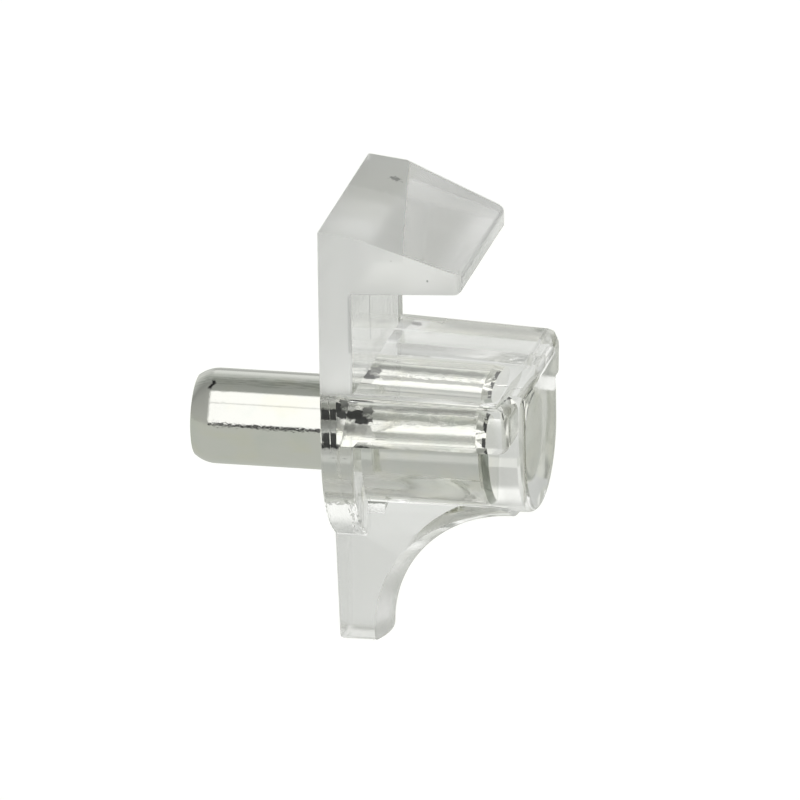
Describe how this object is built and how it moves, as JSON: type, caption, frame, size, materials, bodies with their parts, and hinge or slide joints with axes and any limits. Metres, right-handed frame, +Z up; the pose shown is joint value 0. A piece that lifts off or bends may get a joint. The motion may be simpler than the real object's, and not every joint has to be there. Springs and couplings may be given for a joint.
{
  "type": "shelf support pin",
  "caption": "Clear moulded shelf support on a plated steel pin, with a slot that holds the edge of a glass shelf and a bracing leg.",
  "frame": {"origin": "where the pin's axis meets the wall face of the body's plate", "axes": "+X from the wall into the cabinet, so the pin points to -X; +Z up; the part is symmetric across Y"},
  "size_m": [0.0184, 0.0134, 0.0241],
  "materials": {
    "plated_steel": "bright plated steel, faintly streaked along the pin",
    "clear_plastic": "clear polycarbonate, glossy from the mould"
  },
  "bodies": {
    "root": {"steel_pin": "plated_steel", "clear_body": "clear_plastic"}
  },
  "joints": []
}
